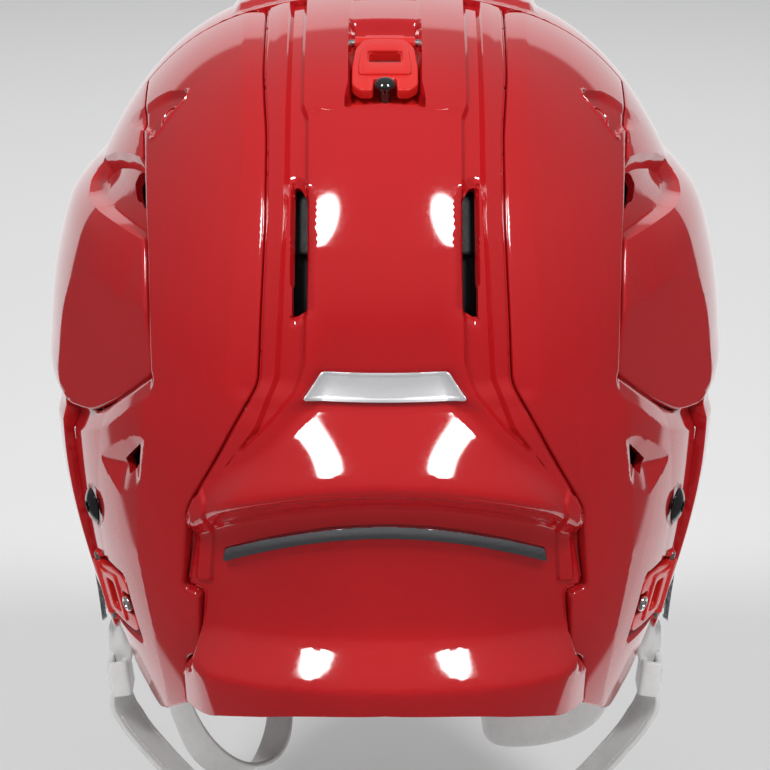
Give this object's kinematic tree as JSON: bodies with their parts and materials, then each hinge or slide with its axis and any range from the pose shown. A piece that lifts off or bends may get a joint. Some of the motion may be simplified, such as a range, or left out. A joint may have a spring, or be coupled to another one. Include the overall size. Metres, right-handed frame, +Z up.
{
  "type": "ice hockey helmet",
  "caption": "Glossy two-piece ice hockey helmet shell with a sliding rear half, nape panel, lever clips, foam liner, clear ear guards and chin strap; takes a screw-on face cage.",
  "frame": {"origin": "centre of the head space, at ear height, where the wearer's head holds the helmet", "axes": "+Z up through the crown, -Y is the way the wearer faces, +X is the wearer's left"},
  "size_m": [0.2194, 0.2725, 0.3006],
  "materials": {
    "shell": "high gloss moulded red",
    "foam": "expanded foam, fine bead grain",
    "pad": "soft brushed lining over comfort foam",
    "clear": "clear impact plastic",
    "steel": "plated steel",
    "black": "gloss black",
    "clip": "semi-gloss moulded red",
    "badge": "satin silver",
    "bright_trim": "dark chrome",
    "webbing": "white woven and coated webbing",
    "white_plastic": "white soft-touch plastic"
  },
  "bodies": {
    "front": {"front_shell": "shell", "front_liner": "foam", "forehead_pad": "pad", "crown_pad": "pad", "temple_pad_left": "pad", "temple_pad_right": "pad", "ear_guard_left": "clear", "ear_guard_right": "clear", "ear_guard_rivets": "steel", "cage_nut_left": "steel", "cage_nut_right": "steel", "ear_loop_left": "webbing", "ear_loop_right": "webbing", "strap_stud_left": "steel", "strap_stud_right": "steel"},
    "rear": {"rear_shell": "shell", "rear_liner_left": "foam", "rear_liner_right": "foam", "side_screw_left": "black", "side_screw_right": "black", "side_nut_left": "steel", "side_nut_right": "steel", "side_plug_left": "clip", "side_plug_right": "clip", "left_clip_base": "clip", "left_clip_pin": "steel", "left_clip_rivet": "steel", "right_clip_base": "clip", "right_clip_pin": "steel", "right_clip_rivet": "steel", "nape_guide_studs": "steel"},
    "nape": {"nape_shell": "shell", "nape_liner": "foam", "nape_pad": "pad", "rear_clip_base": "clip", "rear_clip_pin": "steel", "rear_clip_post": "black", "badge_plate": "badge", "accent_strip": "bright_trim"},
    "left_clip": {"left_clip_lever": "clip"},
    "right_clip": {"right_clip_lever": "clip"},
    "rear_clip": {"rear_clip_lever": "clip"},
    "strap": {"chin_strap_left": "webbing", "chin_strap_right": "webbing", "strap_cap_left": "white_plastic", "strap_cap_right": "white_plastic", "strap_keeper_left": "white_plastic", "strap_keeper_right": "white_plastic", "chin_cup": "white_plastic"}
  },
  "joints": [
    {"name": "length_adjust", "type": "slide", "parent": "front", "child": "rear", "axis": [0, 1, 0], "range_m": [0, 0.016]},
    {"name": "nape_adjust", "type": "hinge", "parent": "rear", "child": "nape", "pos_m": [0, 0, 0], "axis": [-1, 0, 0], "range_deg": [0, 3]},
    {"name": "left_clip_hinge", "type": "hinge", "parent": "rear", "child": "left_clip", "pos_m": [0.091, 0.046, -0.07], "axis": [-0.2364, -0.1053, -0.9659], "range_deg": [0, 100]},
    {"name": "right_clip_hinge", "type": "hinge", "parent": "rear", "child": "right_clip", "pos_m": [-0.091, 0.046, -0.07], "axis": [-0.2364, 0.1053, 0.9659], "range_deg": [0, 100]},
    {"name": "rear_clip_hinge", "type": "hinge", "parent": "nape", "child": "rear_clip", "pos_m": [0, 0.05, 0.1106], "axis": [1, 0, 0], "range_deg": [0, 100]},
    {"name": "chin_strap_swing", "type": "hinge", "parent": "front", "child": "strap", "pos_m": [0, 0.022, -0.084], "axis": [1, 0, 0], "range_deg": [-45, 30]}
  ]
}
